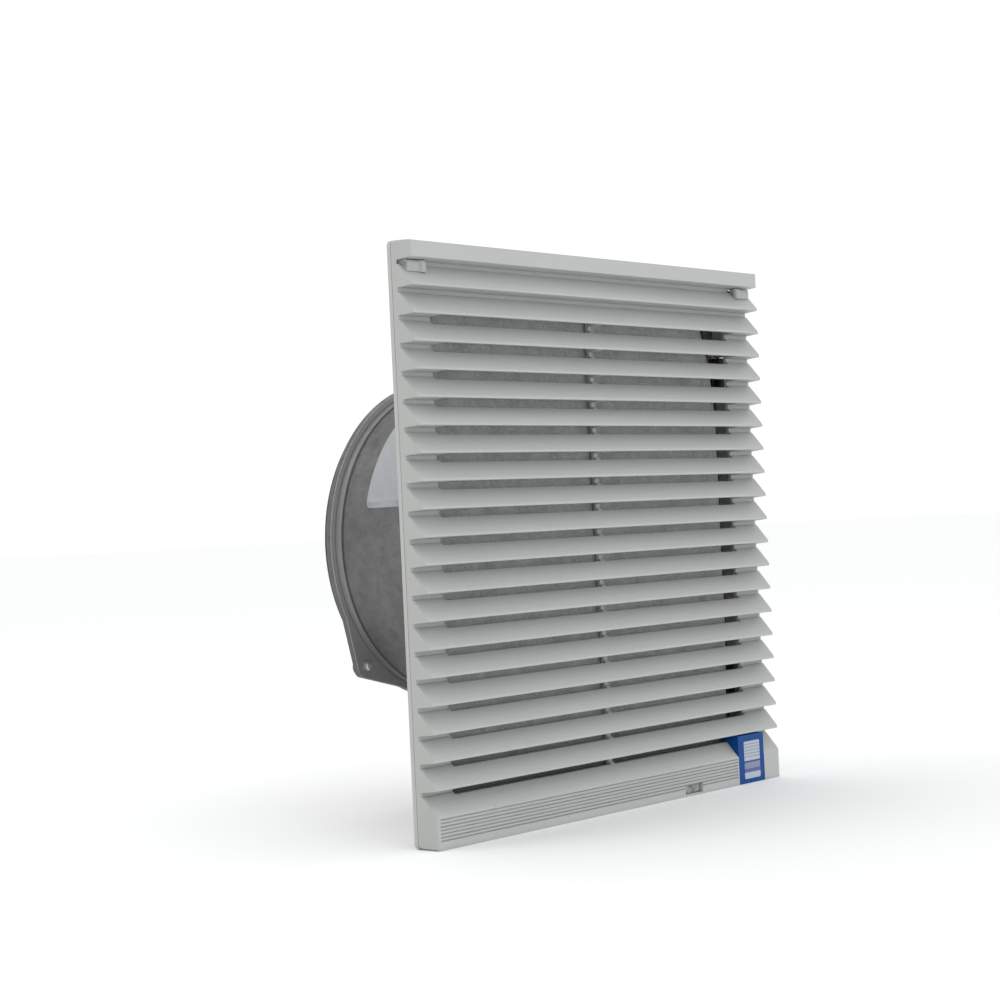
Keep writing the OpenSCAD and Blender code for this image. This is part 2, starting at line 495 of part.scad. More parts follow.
module terminal_screws() { color([0.78, 0.66, 0.36]) for (k = [0:2]) difference() { xcyl(37, 46.5 + 8.5 * k, 127, 131.4, 2.0, 24); translate([130.9, 34, 46.5 + 8.5 * k - 0.3]) cube([1, 6, 0.6]); } }
module cable_gland() {
    color([0.3, 0.31, 0.32]) difference() {
        union() {
            translate([126, 37, 6]) cylinder(h = 6, r = 8, $fn = 6);
            translate([126, 37, -2]) cylinder(h = 8.2, r = 7, $fn = 48);
            translate([126, 37, -2]) cylinder(h = 19, r = 6, $fn = 48);
            translate([126, 37, 14]) cylinder(h = 3, r = 7, $fn = 6);
        }
        translate([126, 37, -3]) cylinder(h = 22, r = 4, $fn = 48);
    }
}

mounting_frame();
hinge_pins();
clip_pins();
panel_gasket();
filter_mat();
filter_support_grid();
air_hood();
hood_screws();
fan_housing();
fan_screws();
fan_nuts();
rear_guard();
guard_screws();
guard_nuts();
rating_label();
stator_flange();
stator_core();
stator_windings();
front_bearing();
rear_bearing();
motor_screws();
motor_lead();
lead_grommet();
terminal_box();
terminal_cover();
cover_screws();
terminal_strip();
terminal_screws();
cable_gland();
louvre_grille();
colour_insert();
insert_panel();
dark_plate();
latch_spring_left();
latch_spring_right();
latch_left();
latch_right();
clip_top_left();
clip_top_right();
clip_bottom_left();
clip_bottom_right();
rotor_can();
rotor_cage();
fan_blades();
motor_shaft();
retaining_ring();
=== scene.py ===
import json
import math
import random

import bmesh
import bpy
from mathutils import Matrix, Vector, noise


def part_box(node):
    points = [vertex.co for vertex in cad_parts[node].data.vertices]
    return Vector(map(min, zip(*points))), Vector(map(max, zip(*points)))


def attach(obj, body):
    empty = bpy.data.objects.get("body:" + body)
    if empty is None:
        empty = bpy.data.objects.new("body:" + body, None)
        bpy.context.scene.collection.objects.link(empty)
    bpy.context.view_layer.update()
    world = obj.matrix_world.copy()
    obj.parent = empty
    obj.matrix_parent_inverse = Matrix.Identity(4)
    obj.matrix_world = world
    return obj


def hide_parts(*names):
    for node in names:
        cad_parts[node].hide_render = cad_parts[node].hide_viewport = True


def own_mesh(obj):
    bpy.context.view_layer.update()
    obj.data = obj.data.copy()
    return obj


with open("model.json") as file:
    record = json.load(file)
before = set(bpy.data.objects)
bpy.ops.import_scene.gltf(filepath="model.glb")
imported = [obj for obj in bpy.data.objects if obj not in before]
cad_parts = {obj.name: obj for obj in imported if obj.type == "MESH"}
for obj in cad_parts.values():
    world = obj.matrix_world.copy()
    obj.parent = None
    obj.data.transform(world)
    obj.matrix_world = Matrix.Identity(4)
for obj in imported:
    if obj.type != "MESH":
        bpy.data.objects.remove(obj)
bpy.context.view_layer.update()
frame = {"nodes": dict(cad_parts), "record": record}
NODES = frame["nodes"]
scene = bpy.context.scene
scene.view_settings.view_transform = "Standard"
scene.view_settings.look = "None"


# ---------------------------------------------------------------- camera, floor and light
def make_camera():
    cam = bpy.data.cameras.new("photo_camera")
    cam.sensor_width = 36.0
    cam.sensor_fit = "HORIZONTAL"
    cam.lens = 75.3245
    cam.clip_start, cam.clip_end = 0.01, 60.0
    o = bpy.data.objects.new("photo_camera", cam)
    scene.collection.objects.link(o)
    right = Vector((0.6580094, -0.7515097, -0.0475048))
    down = Vector((-0.0240133, 0.0421125, -0.9988243))
    view = Vector((0.7526267, 0.6583765, 0.0096642))
    m = Matrix.Identity(4)
    for r in range(3):
        m[r][0], m[r][1], m[r][2] = right[r], -down[r], -view[r]
    m[0][3], m[1][3], m[2][3] = -0.9513063, -0.7628853, 0.0104400
    o.matrix_world = m
    scene.camera = o


def area(name, place, target, size, power, colour=(1, 1, 1), size_y=None):
    light = bpy.data.lights.new(name, "AREA")
    light.energy, light.size, light.color = power, size, colour
    if size_y:
        light.shape, light.size_y = "RECTANGLE", size_y
    o = bpy.data.objects.new(name, light)
    o.location = place
    o.rotation_euler = (Vector(target) - Vector(place)).to_track_quat("-Z", "Y").to_euler()
    scene.collection.objects.link(o)
    return o


def make_light():
    """A white tent that is dimmer on the left and a little cooler in front, with two soft lamps."""
    world = bpy.data.worlds.new("studio")
    world.use_nodes = True
    t = world.node_tree
    back = t.nodes["Background"]
    part = t.nodes.new("ShaderNodeSeparateXYZ")
    t.links.new(t.nodes.new("ShaderNodeTexCoord").outputs["Generated"], part.inputs["Vector"])
    left = t.nodes.new("ShaderNodeMapRange")
    left.interpolation_type = "SMOOTHSTEP"
    for key, v in (("From Min", -0.9), ("From Max", -0.2), ("To Min", 0.75), ("To Max", 1.05)):
        left.inputs[key].default_value = v
    t.links.new(part.outputs["X"], left.inputs["Value"])
    t.links.new(left.outputs["Result"], back.inputs["Strength"])
    cool = t.nodes.new("ShaderNodeValToRGB")
    cool.color_ramp.elements[0].position, cool.color_ramp.elements[0].color = 0.1, (0.955, 0.985, 1.0, 1)
    cool.color_ramp.elements[1].position, cool.color_ramp.elements[1].color = 0.5, (1, 1, 1, 1)
    front = t.nodes.new("ShaderNodeMapRange")
    front.inputs["From Min"].default_value, front.inputs["From Max"].default_value = -1.0, 1.0
    t.links.new(part.outputs["Y"], front.inputs["Value"])
    t.links.new(front.outputs["Result"], cool.inputs["Fac"])
    t.links.new(cool.outputs["Color"], back.inputs["Color"])
    scene.world = world
    area("front", (-0.75, -2.0, 0.4), (0, 0, 0), 1.1, 5.5, (0.82, 0.92, 1.0))
    area("left", (-1.1, 0.7, 1.6), (0, 0.08, 0), 0.9, 5.4)


def make_floor():
    bm = bmesh.new()
    n, half = 8, 20.0
    bmesh.ops.create_grid(bm, x_segments=n, y_segments=n, size=half)
    me = bpy.data.meshes.new("studio_floor")
    bm.to_mesh(me)
    bm.free()
    o = bpy.data.objects.new("studio_floor", me)
    o.location = (0, 0, -0.16004)
    scene.collection.objects.link(o)
    m = bpy.data.materials.new("studio_floor_paint")
    m.use_nodes = True
    b = m.node_tree.nodes["Principled BSDF"]
    b.inputs["Base Color"].default_value = (0.985, 0.985, 0.985, 1)
    b.inputs["Roughness"].default_value = 0.9
    b.inputs["Specular IOR Level"].default_value = 0.1
    me.materials.append(m)


# ---------------------------------------------------------------- material helpers
class Tree:
    """Small helper around one material's node tree."""

    def __init__(self, name):
        self.m = bpy.data.materials.new(name)
        self.m.use_nodes = True
        self.t = self.m.node_tree
        self.b = self.t.nodes["Principled BSDF"]
        self.co = self.t.nodes.new("ShaderNodeTexCoord").outputs["Object"]

    def link(self, a, b):
        self.t.links.new(a, b)

    def set(self, **kw):
        for k, v in kw.items():
            self.b.inputs[k.replace("_", " ")].default_value = v

    def mapping(self, scale=(1, 1, 1), rot=(0, 0, 0), loc=(0, 0, 0), src=None):
        n = self.t.nodes.new("ShaderNodeMapping")
        n.inputs["Scale"].default_value = scale
        n.inputs["Rotation"].default_value = rot
        n.inputs["Location"].default_value = loc
        self.link(src or self.co, n.inputs["Vector"])
        return n.outputs["Vector"]

    def noise(self, scale, detail=4, rough=0.55, src=None, distort=0.0):
        n = self.t.nodes.new("ShaderNodeTexNoise")
        n.inputs["Scale"].default_value = scale
        n.inputs["Detail"].default_value = detail
        n.inputs["Roughness"].default_value = rough
        n.inputs["Distortion"].default_value = distort
        self.link(src or self.co, n.inputs["Vector"])
        return n.outputs["Fac"]

    def voronoi(self, scale, feature="F1", src=None, out="Distance", rand=1.0):
        n = self.t.nodes.new("ShaderNodeTexVoronoi")
        n.feature = feature
        n.inputs["Scale"].default_value = scale
        n.inputs["Randomness"].default_value = rand
        self.link(src or self.co, n.inputs["Vector"])
        return n.outputs[out]

    def wave(self, scale, distort=2.0, direction="X", src=None, detail=3, kind="BANDS"):
        n = self.t.nodes.new("ShaderNodeTexWave")
        n.wave_type = kind
        if kind == "BANDS":
            n.bands_direction = direction
        else:
            n.rings_direction = direction
        n.inputs["Scale"].default_value = scale
        n.inputs["Distortion"].default_value = distort
        n.inputs["Detail"].default_value = detail
        self.link(src or self.co, n.inputs["Vector"])
        return n.outputs["Fac"]

    def ramp(self, fac, stops, interp="LINEAR"):
        n = self.t.nodes.new("ShaderNodeValToRGB")
        n.color_ramp.interpolation = interp
        e = n.color_ramp.elements
        while len(e) < len(stops):
            e.new(0.5)
        for k, (p, c) in enumerate(stops):
            e[k].position = p
            e[k].color = c if len(c) == 4 else (*c, 1)
        self.link(fac, n.inputs["Fac"])
        return n.outputs["Color"]

    def grey(self, fac, lo, hi, p0=0.0, p1=1.0):
        n = self.t.nodes.new("ShaderNodeMapRange")
        n.inputs["From Min"].default_value = p0
        n.inputs["From Max"].default_value = p1
        n.inputs["To Min"].default_value = lo
        n.inputs["To Max"].default_value = hi
        self.link(fac, n.inputs["Value"])
        return n.outputs["Result"]

    def math(self, op, a, b=None, clamp=False):
        n = self.t.nodes.new("ShaderNodeMath")
        n.operation = op
        n.use_clamp = clamp
        for k, v in enumerate((a, b)):
            if v is None:
                continue
            if isinstance(v, (int, float)):
                n.inputs[k].default_value = v
            else:
                self.link(v, n.inputs[k])
        return n.outputs["Value"]

    def near(self, v, at, within):
        """1 where a value lies close to a given one, else 0."""
        out = self.math("COMPARE", v, at)
        out.node.inputs[2].default_value = within
        return out

    def mix(self, fac, a, b, mode="MIX"):
        n = self.t.nodes.new("ShaderNodeMix")
        n.data_type = "RGBA"
        n.blend_type = mode
        for key, v in (("Factor", fac), ("A", a), ("B", b)):
            sock = next(s for s in n.inputs if s.name == key and s.enabled and (key == "Factor" and s.type == "VALUE" or s.type == "RGBA"))
            if isinstance(v, (int, float)):
                sock.default_value = v
            elif isinstance(v, (tuple, list)):
                sock.default_value = v if len(v) == 4 else (*v, 1)
            else:
                self.link(v, sock)
        return next(s for s in n.outputs if s.type == "RGBA")

    def split(self, src=None):
        n = self.t.nodes.new("ShaderNodeSeparateXYZ")
        self.link(src or self.co, n.inputs["Vector"])
        return n.outputs

    def colour(self, c):
        self.link(c, self.b.inputs["Base Color"])

    def rough(self, r):
        self.link(r, self.b.inputs["Roughness"])

    def bump(self, height, strength, distance):
        n = self.t.nodes.new("ShaderNodeBump")
        n.inputs["Strength"].default_value = strength
        n.inputs["Distance"].default_value = distance
        self.link(height, n.inputs["Height"])
        if self.b.inputs["Normal"].is_linked:
            self.link(self.b.inputs["Normal"].links[0].from_socket, n.inputs["Normal"])
        self.link(n.outputs["Normal"], self.b.inputs["Normal"])


FLANGE_FRONT = 0.1170


def moulded(name, base, spread=0.03, rough=(0.42, 0.56), grain=0.00005, speck=1.0):
    """Moulded plastic: fine eroded grain, slow tone drift, faint flow marks and dust specks."""
    t = Tree(name)
    drift = t.noise(14, 5, 0.6)
    fine = t.noise(900, 3, 0.6)
    lo = tuple(max(0.0, c * (1 - spread)) for c in base)
    hi = tuple(min(1.0, c * (1 + spread)) for c in base)
    col = t.ramp(drift, [(0.3, lo), (0.7, hi)])
    specks = t.noise(420, 2, 0.5)
    dirt_and_step_shadow = t.ramp(specks, [(0.66, (1, 1, 1)), (0.74, (1 - 0.10 * speck,) * 3)])
    col = t.mix(1.0, col, dirt_and_step_shadow, "MULTIPLY")
    t.colour(col)
    t.rough(t.grey(fine, rough[0], rough[1], 0.3, 0.7))
    t.bump(t.noise(2600, 2, 0.5), 0.5, grain)
    t.bump(t.noise(60, 3, 0.5), 0.25, 0.00006)
    return t


def radial(t, far):
    """A vector that changes with the distance from the fan's axis only."""
    n = t.t.nodes.new("ShaderNodeCombineXYZ")
    t.link(far, n.inputs["Z"])
    return n.outputs["Vector"]


def brushed(name, base, axis_scale, rough=(0.22, 0.4), metal=1.0, stain=0.15):
    """Bright plated or lathe-cut metal with fine lines."""
    t = Tree(name)
    t.set(Metallic=metal)
    lines = t.noise(60, 4, 0.6, t.mapping(axis_scale))
    cloud = t.noise(180, 4, 0.6)
    col = t.ramp(cloud, [(0.3, tuple(c * (1 - stain) for c in base)), (0.7, base)])
    t.colour(col)
    t.rough(t.grey(lines, rough[0], rough[1], 0.3, 0.7))
    t.bump(lines, 0.25, 0.00003)
    return t


# ---------------------------------------------------------------- materials
def make_materials():
    M = {}
    # pale grey cover plastic: painted shade that deepens from the louvre tips towards the back of the gaps and a flat
    # painted shade along the outer edges, painted shade in the fine grooves of the lower strip
    t = moulded("cover_plastic_grain", (0.447, 0.452, 0.436), 0.02)
    plain = t.b.inputs["Base Color"].links[0].from_socket
    x, y, z = t.split()
    # painted shade: darker with depth behind the louvre tips, where the louvre above shades the slope and the gap floor
    painted_shade = t.ramp(t.grey(y, 0.0, 1.0, -0.0162, -0.0030), [(0.0, (0.0,) * 3), (0.09, (0.02,) * 3), (0.31, (0.07,) * 3), (0.56, (0.10,) * 3),
                                                         (0.73, (0.20,) * 3), (0.79, (0.20,) * 3), (0.86, (0.06,) * 3), (1.0, (0.06,) * 3)])
    outer = t.math("GREATER_THAN", t.math("MAXIMUM", t.math("ABSOLUTE", x), t.math("ABSOLUTE", z)), 0.1584)
    painted_shade = t.mix(outer, painted_shade, (0.08, 0.08, 0.08, 1))
    painted_shade = t.mix(1.0, painted_shade, t.ramp(t.noise(30, 4), [(0.3, (0.75,) * 3), (0.7, (1.0,) * 3)]), "MULTIPLY")
    # painted shade in the fine grooves of the lower strip
    groove_shade = t.math("MULTIPLY", t.math("MULTIPLY", t.near(y, -0.0157, 0.00035), t.near(z, -0.1496, 0.0062)), t.near(x, -0.0218, 0.1350))
    painted_shade = t.math("MAXIMUM", painted_shade, t.math("MULTIPLY", groove_shade, 0.16))
    t.colour(t.mix(painted_shade, plain, (0.055, 0.056, 0.048, 1)))
    M["cover_plastic"] = t.m
    M["latch_plastic"] = moulded("latch_plastic_grain", (0.390, 0.394, 0.380), 0.02).m
    t = moulded("frame_plastic_grain", (0.452, 0.457, 0.440), 0.03, (0.46, 0.6))
    M["frame_plastic"] = t.m
    t = moulded("black_plastic_grain", (0.028, 0.029, 0.031), 0.25, (0.4, 0.58), 0.00006, 0.0)
    M["black_plastic"] = t.m
    M["grid_plastic"] = moulded("grid_plastic_dusty", (0.130, 0.131, 0.124), 0.2, (0.5, 0.7), 0.00006, 0.0).m
    t = moulded("gland_plastic_grain", (0.16, 0.165, 0.17), 0.1, (0.4, 0.55), 0.00005, 0.3)
    M["gland_plastic"] = t.m
    # glossy blue insert
    t = moulded("blue_plastic_gloss", (0.005, 0.060, 0.250), 0.08, (0.3, 0.42), 0.00002, 0.4)
    t.set(Specular_IOR_Level=0.14)
    M["blue_plastic"] = t.m
    # white panel: a ruled field, two blue bars and a lower field, all blank
    t = Tree("white_panel_fields")
    v = t.grey(t.split()[2], 0.0, 1.0, -0.1339, -0.1572)
    white, pale, bar = (0.480, 0.510, 0.560), (0.240, 0.270, 0.400), (0.030, 0.055, 0.200)
    field = t.ramp(v, [(0.0, white), (0.515, white), (0.530, bar), (0.560, bar), (0.575, pale), (0.725, pale), (0.740, (0.10, 0.12, 0.34)),
                       (0.825, (0.10, 0.12, 0.34)), (0.840, white), (1.0, white)])
    line = t.math("PINGPONG", t.math("MULTIPLY", v, 12.0), 0.5)
    ruled = t.math("MULTIPLY", t.grey(line, 0.9, 0.0, 0.11, 0.25), t.grey(v, 1.0, 0.0, 0.47, 0.48))
    field = t.mix(ruled, field, (0.270, 0.300, 0.400, 1))
    tone = t.ramp(t.noise(500, 4), [(0.3, (0.90, 0.90, 0.90)), (0.7, (1, 1, 1))])
    t.colour(t.mix(1.0, field, tone, "MULTIPLY"))
    t.set(Specular_IOR_Level=0.3)
    t.rough(t.grey(t.noise(700, 2), 0.3, 0.42))
    t.bump(t.noise(1800, 2), 0.2, 0.00002)
    M["white_panel"] = t.m
    # tongue at the bottom of the opening slot: dusty grey plastic, dirt in blotches
    t = Tree("dark_plate_satin")
    sp = t.noise(260, 4, 0.65)
    t.colour(t.ramp(sp, [(0.36, (0.055, 0.054, 0.048)), (0.48, (0.25, 0.25, 0.232)), (0.62, (0.40, 0.40, 0.375))]))
    t.rough(t.grey(t.noise(600, 3), 0.35, 0.6))
    t.bump(t.noise(1400, 3), 0.4, 0.00006)
    M["dark_plate"] = t.m
    # filter fleece: thin fibres laid in every direction, cloudy grey, painted shade low down
    t = Tree("filter_fleece_fibre")
    fib = None
    for k in range(5):
        strand = t.noise(1.0, 2, 0.5, t.mapping((1500, 1500, 95), src=t.mapping(rot=(0.15 * k, 0.35 + 0.63 * k, 0), loc=(0.01 * k, 0.02 * k, 0))))
        strand = t.grey(strand, 0.0, 1.0, 0.56, 0.70)
        fib = strand if fib is None else t.math("MAXIMUM", fib, strand)
    cloud = t.noise(70, 4, 0.6)
    base = t.ramp(cloud, [(0.30, (0.250, 0.258, 0.242)), (0.5, (0.300, 0.308, 0.292)), (0.70, (0.350, 0.358, 0.340))])
    col = t.mix(t.grey(fib, 0.0, 0.6), base, (0.50, 0.505, 0.485, 1))
    # painted shade: the fleece darkens towards the bottom, where the lower strip keeps light off it
    low_shade = t.math("MULTIPLY", t.grey(t.split()[2], 0.0, 0.72, -0.104, -0.124), t.grey(t.noise(40, 3), 0.85, 1.0, 0.3, 0.7))
    t.colour(t.mix(low_shade, col, (0.022, 0.028, 0.022, 1)))
    t.set(Roughness=0.95, Sheen_Weight=0.2, Sheen_Roughness=0.6, Specular_IOR_Level=0.15)
    t.bump(fib, 0.5, 0.0003)
    t.bump(t.noise(900, 3), 0.4, 0.0002)
    M["filter_fleece"] = t.m
    # loose fibres on its face
    t = Tree("fleece_loose_fibre")
    t.colour(t.ramp(t.noise(300, 2), [(0.3, (0.30, 0.305, 0.29)), (0.7, (0.42, 0.425, 0.405))]))
    t.set(Roughness=0.8, Specular_IOR_Level=0.2)
    t.bump(t.noise(3000, 2), 0.2, 0.00002)
    M["fleece_fibre"] = t.m
    # closed-cell gasket foam
    t = Tree("gasket_foam_cells")
    cells = t.voronoi(1500)
    t.colour(t.ramp(cells, [(0.1, (0.012, 0.012, 0.012)), (0.5, (0.035, 0.035, 0.036)), (0.9, (0.05, 0.05, 0.052))]))
    t.set(Specular_IOR_Level=0.2)
    t.rough(t.grey(cells, 0.95, 0.75))
    t.bump(cells, 0.7, 0.0003)
    M["gasket_foam"] = t.m
    # die-cast alloy: mottled skin, shot-blast grain, dark stains
    t = Tree("cast_alloy_skin")
    t.set(Metallic=0.3)
    big = t.noise(26, 6, 0.68, None, 0.4)
    mid = t.noise(160, 5, 0.65)
    fine = t.noise(1500, 3, 0.6)
    c = t.ramp(big, [(0.25, (0.105, 0.105, 0.103)), (0.5, (0.140, 0.140, 0.138)), (0.75, (0.175, 0.175, 0.172))])
    c = t.mix(t.grey(mid, 0.0, 0.55, 0.45, 0.75), c, (0.085, 0.085, 0.083, 1))
    c = t.mix(t.grey(fine, 0.0, 0.4, 0.55, 0.8), c, (0.25, 0.25, 0.25, 1))
    # rear flange: front turned and lightened as painted light, rim darkened as painted shade, side of the step ring
    # lightened as painted light, painted highlight on the step of the tube and painted shadow in front of it
    x, y, z = t.split()
    far = t.math("SQRT", t.math("ADD", t.math("MULTIPLY", x, x), t.math("MULTIPLY", z, z)))
    lathe = t.grey(t.noise(900, 3, 0.6, radial(t, far)), 0.8, 1.0, 0.3, 0.7)
    # turned front face, also made lighter as painted light on a face that lies in shade
    turned_face_lit = t.math("MULTIPLY", t.near(y, FLANGE_FRONT, 0.0004), t.math("GREATER_THAN", far, 0.0936))
    c = t.mix(t.math("MULTIPLY", turned_face_lit, lathe), c, (0.46, 0.46, 0.455, 1))
    # painted shade: the outer rim of the flange darkened
    rim_shade = t.math("MULTIPLY", t.math("GREATER_THAN", y, FLANGE_FRONT + 0.0004), t.grey(far, 0.0, 0.04, 0.0945, 0.0965))
    c = t.mix(rim_shade, c, (0, 0, 0, 1))
    # painted light: the side of the step ring lightened against the flange's shade
    ring_lit = t.math("MULTIPLY", t.near(y, 0.1154, 0.0016), t.near(far, 0.0932, 0.0008))
    c = t.mix(t.math("MULTIPLY", ring_lit, 0.8), c, (0.29, 0.29, 0.285, 1))
    # painted highlight along the edge of the tube's step
    step_highlight = t.math("MULTIPLY", t.near(y, 0.1132, 0.0005), t.math("GREATER_THAN", far, 0.0925))
    c = t.mix(t.math("MULTIPLY", step_highlight, t.grey(mid, 0.5, 0.9, 0.3, 0.7)), c, (0.33, 0.33, 0.325, 1))
    # painted shadow in front of the tube's step
    dirt_and_step_shadow = t.math("MULTIPLY", t.near(y, 0.1121, 0.0006), t.near(far, 0.0920, 0.0006))
    c = t.mix(t.math("MULTIPLY", dirt_and_step_shadow, 0.55), c, (0.012, 0.012, 0.012, 1))
    # painted shade: the fan housing darkens towards the bottom
    painted_shade = t.math("MULTIPLY", t.grey(z, 0.0, 0.34, -0.022, -0.085), t.grey(big, 0.8, 1.0, 0.3, 0.7))
    c = t.mix(painted_shade, c, (0.010, 0.010, 0.009, 1))
    t.colour(c)
    t.rough(t.grey(mid, 0.42, 0.66, 0.3, 0.7))
    t.bump(fine, 0.5, 0.00012)
    t.bump(mid, 0.35, 0.0003)
    M["cast_alloy"] = t.m
    # silver-white film with a rubbed surface
    t = Tree("label_film_rubbed")
    rub = t.noise(220, 4, 0.6, t.mapping((1, 6, 1)))
    t.colour(t.ramp(rub, [(0.3, (0.335, 0.345, 0.36)), (0.7, (0.405, 0.415, 0.43))]))
    t.set(Metallic=0.15)
    t.rough(t.grey(rub, 0.3, 0.46))
    t.bump(t.noise(800, 2), 0.2, 0.00004)
    M["label_film"] = t.m
    M["zinc_steel"] = brushed("zinc_steel_plate", (0.70, 0.705, 0.71), (1, 8, 1), (0.38, 0.56), 0.75, 0.2).m
    M["spring_steel"] = brushed("spring_steel_strip", (0.50, 0.50, 0.52), (6, 1, 1), (0.2, 0.35)).m
    M["bearing_steel"] = brushed("bearing_steel_ground", (0.62, 0.62, 0.64), (1, 12, 1), (0.12, 0.24), 1.0, 0.08).m
    # black powder coat on the guard
    t = Tree("guard_powder_coat")
    orange = t.noise(1300, 2, 0.5)
    t.colour(t.ramp(t.noise(70, 4), [(0.3, (0.018, 0.018, 0.020)), (0.7, (0.034, 0.034, 0.036))]))
    t.rough(t.grey(orange, 0.32, 0.5))
    t.bump(orange, 0.5, 0.00012)
    M["guard_wire"] = t.m
    # rotor paint: black with grey scuffs
    t = Tree("rotor_paint_black")
    sc = t.noise(130, 5, 0.7, t.mapping((1, 3, 1)))
    t.colour(t.ramp(sc, [(0.35, (0.020, 0.020, 0.022)), (0.62, (0.036, 0.036, 0.038)), (0.78, (0.075, 0.075, 0.078))]))
    t.rough(t.grey(sc, 0.35, 0.58, 0.3, 0.7))
    t.bump(t.noise(1100, 2), 0.4, 0.0001)
    M["rotor_paint"] = t.m
    # stacked laminations
    t = Tree("core_steel_sheets")
    t.set(Metallic=0.9)
    lam = t.wave(320, 0.15, "Y", None, 1)
    t.colour(t.ramp(lam, [(0.2, (0.12, 0.12, 0.125)), (0.8, (0.30, 0.30, 0.31))]))
    t.rough(t.grey(t.noise(400, 3), 0.4, 0.6))
    t.bump(lam, 0.5, 0.0001)
    M["core_steel"] = t.m
    # enamelled copper wire
    t = Tree("copper_wire_enamel")
    t.set(Metallic=0.8, Coat_Weight=0.5, Coat_Roughness=0.15)
    turns = t.wave(260, 3.5, "DIAGONAL", None, 2)
    t.colour(t.ramp(turns, [(0.15, (0.16, 0.05, 0.018)), (0.6, (0.46, 0.17, 0.06)), (0.95, (0.62, 0.27, 0.10))]))
    t.rough(t.grey(turns, 0.45, 0.28))
    t.bump(turns, 0.8, 0.0004)
    M["copper_wire"] = t.m
    # cable sheath
    t = Tree("cable_sheath_pvc")
    t.colour(t.ramp(t.noise(240, 4), [(0.3, (0.014, 0.014, 0.015)), (0.7, (0.030, 0.030, 0.031))]))
    t.rough(t.grey(t.noise(900, 3), 0.42, 0.62))
    t.bump(t.noise(1600, 2), 0.3, 0.00006)
    M["cable_sheath"] = t.m
    M["terminal_body"] = moulded("terminal_body_resin", (0.62, 0.60, 0.53), 0.04, (0.3, 0.45)).m
    M["terminal_metal"] = brushed("terminal_brass", (0.62, 0.46, 0.20), (1, 8, 1)).m
    return M


# ---------------------------------------------------------------- CAD nodes: finish, soft edges
BEVEL = {
    "louvre_grille": 0.00022, "mounting_frame": 0.0003, "air_hood": 0.0006, "colour_insert": 0.0003, "insert_panel": 0.00012, "dark_plate": 0.0002,
    "fan_housing": 0.0003, "terminal_box": 0.0004, "terminal_cover": 0.0006, "stator_flange": 0.0004,
    "clip_top_left": 0.0003, "clip_top_right": 0.0003, "clip_bottom_left": 0.0003, "clip_bottom_right": 0.0003, "cable_gland": 0.0004,
    "guard_nuts": 0.0003, "fan_nuts": 0.0003, "filter_support_grid": 0.0003, "terminal_strip": 0.0003,
}


def finish_cad(M):
    slot_of = {s["node"]: s["material_slot"] for s in frame["record"]["subparts"]}
    own = {"latch_left": "latch_plastic", "latch_right": "latch_plastic", "filter_support_grid": "grid_plastic"}
    for name, o in NODES.items():
        o.data.materials.clear()
        o.data.materials.append(M[own.get(name, slot_of[name])])
        weld = o.modifiers.new("weld", "WELD")
        weld.merge_threshold = 0.000002
        if name in BEVEL:
            flat = o.modifiers.new("flat", "DECIMATE")
            flat.decimate_type = "DISSOLVE"
            flat.angle_limit = math.radians(0.6)
            b = o.modifiers.new("edge", "BEVEL")
            b.width = BEVEL[name]
            b.segments = 2
            b.limit_method = "ANGLE"
            b.angle_limit = math.radians(28)
            b.use_clamp_overlap = True
            b.harden_normals = False


def slab_grid(bm, nx, nz, w, y, sign, bump):
    """A grid in XZ at depth y, displaced along Y by bump(x, z)."""
    rows = []
    for i in range(nx + 1):
        row = []
        for k in range(nz + 1):
            x, z = -w + 2 * w * i / nx, -w + 2 * w * k / nz
            row.append(bm.verts.new((x, y + sign * bump(x, z), z)))
        rows.append(row)
    for i in range(nx):
        for k in range(nz):
            q = (rows[i][k], rows[i + 1][k], rows[i + 1][k + 1], rows[i][k + 1])
            bm.faces.new(q if sign < 0 else q[::-1])
    return rows


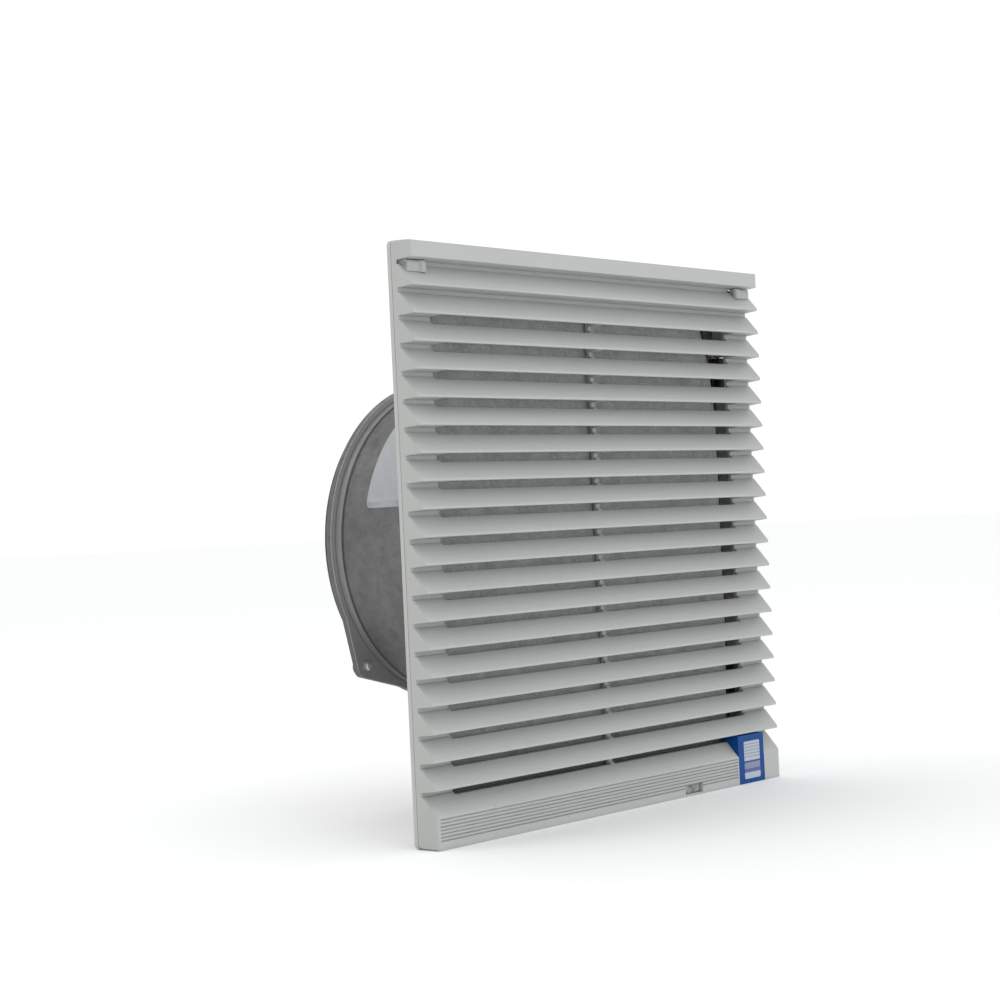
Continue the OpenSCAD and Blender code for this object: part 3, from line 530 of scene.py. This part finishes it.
def filter_fleece(M):
    """The filter mat: an uneven fleece pad with loose fibres on its face."""
    lo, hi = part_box("filter_mat")
    w = hi.x - 0.0004
    y0, y1 = lo.y + 0.0007, hi.y - 0.0003
    rnd = random.Random(11)

    def front(x, z):
        v = noise.noise(Vector((x * 38, z * 38, 3.1))) * 0.00045 + noise.noise(Vector((x * 130, z * 130, 9.7))) * 0.0003
        edge = min(w - abs(x), w - abs(z))
        return v - 0.0016 * math.exp(-edge / 0.0018)

    def right(z):
        """The mat's right edge: it stops short of the collar, most at the upper corner."""
        return 0.1285 - 2.6 * max(0.0, z - 0.055) ** 2 - 0.05 * max(0.0, -0.050 - z)

    def back(x, z):
        return noise.noise(Vector((x * 45, z * 45, 17.0))) * 0.0002 - 0.001 * math.exp(-min(w - abs(x), w - abs(z)) / 0.0018)

    bm = bmesh.new()
    n = 110
    a = slab_grid(bm, n, n, w, y0, -1, front)
    b = slab_grid(bm, n, n, w, y1, 1, back)
    for k in range(n):
        for p, q, r, s in ((a[0][k], a[0][k + 1], b[0][k + 1], b[0][k]), (a[n][k + 1], a[n][k], b[n][k], b[n][k + 1]),
                           (a[k + 1][0], a[k][0], b[k][0], b[k + 1][0]), (a[k][n], a[k + 1][n], b[k + 1][n], b[k][n])):
            bm.faces.new((p, q, r, s))
    # the corners give way to the frame's screw bosses
    for v in bm.verts:
        for sx in (-1, 1):
            for sz in (-1, 1):
                d = Vector((v.co.x - sx * 0.1386, 0, v.co.z - sz * 0.1386))
                if d.length < 0.0056:
                    d.normalize()
                    v.co.x, v.co.z = sx * 0.1386 + d.x * 0.0056, sz * 0.1386 + d.z * 0.0056
        if v.co.x > 0:
            v.co.x *= right(v.co.z) / w
    bmesh.ops.recalc_face_normals(bm, faces=bm.faces)
    for f in bm.faces:
        f.smooth = True
    me = bpy.data.meshes.new("filter_fleece")
    bm.to_mesh(me)
    bm.free()
    me.materials.append(M["filter_fleece"])
    o = bpy.data.objects.new("filter_fleece", me)
    scene.collection.objects.link(o)
    # loose fibres lying on the face
    bm = bmesh.new()
    for _ in range(2600):
        x, z = rnd.uniform(-w + 0.006, w - 0.006), rnd.uniform(-w + 0.006, w - 0.006)
        ang, bend = rnd.uniform(0, math.tau), rnd.uniform(-90, 90)
        ln, r = rnd.uniform(0.006, 0.020), rnd.uniform(0.00003, 0.00006)
        pts, seg = [], 6
        for s in range(seg + 1):
            px, pz = max(-w + 0.004, min(w - 0.004, x)), max(-w + 0.004, min(w - 0.004, z))
            px = min(px, right(pz) - 0.004)
            lift = 0.0001 + 0.0003 * math.sin(math.pi * s / seg) * rnd.random()
            pts.append(Vector((px, y0 - front(px * w / right(pz) if px > 0 else px, pz) - lift, pz)))
            x += math.cos(ang) * ln / seg
            z += math.sin(ang) * ln / seg
            ang += bend * ln / seg
        rings = []
        for s, p in enumerate(pts):
            t = (pts[min(s + 1, seg)] - pts[max(s - 1, 0)]).normalized()
            u = t.cross(Vector((0, 1, 0)))
            if u.length < 1e-6:
                u = Vector((1, 0, 0))
            u.normalize()
            v = t.cross(u)
            taper = r * (0.35 if s in (0, seg) else 1.0)
            rings.append([bm.verts.new(p + taper * (math.cos(math.tau * k / 3) * u + math.sin(math.tau * k / 3) * v)) for k in range(3)])
        for s in range(seg):
            for k in range(3):
                bm.faces.new((rings[s][k], rings[s][(k + 1) % 3], rings[s + 1][(k + 1) % 3], rings[s + 1][k]))
        bm.faces.new(rings[0][::-1])
        bm.faces.new(rings[-1])
    bmesh.ops.recalc_face_normals(bm, faces=bm.faces)
    for f in bm.faces:
        f.smooth = True
    me = bpy.data.meshes.new("filter_fibres")
    bm.to_mesh(me)
    bm.free()
    me.materials.append(M["fleece_fibre"])
    fib = bpy.data.objects.new("filter_fibres", me)
    scene.collection.objects.link(fib)
    for p in (o, fib):
        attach(p, "frame")
    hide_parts("filter_mat")


def latch_springs():
    """The flat zigzag springs, copied from their CAD nodes and hung under the cover's body."""
    for side, s in (("left", -1), ("right", 1)):
        node = "latch_spring_" + side
        bm = bmesh.new()
        bm.from_mesh(NODES[node].data)
        bmesh.ops.remove_doubles(bm, verts=bm.verts, dist=0.000002)
        me = bpy.data.meshes.new("spring_strip_" + side)
        bm.to_mesh(me)
        bm.free()
        me.materials.append(NODES[node].data.materials[0])
        o = bpy.data.objects.new("spring_strip_" + side, me)
        scene.collection.objects.link(o)
        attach(o, "cover")
        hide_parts(node)
        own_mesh(o)


make_camera()
make_light()
make_floor()
M = make_materials()
finish_cad(M)
filter_fleece(M)
latch_springs()
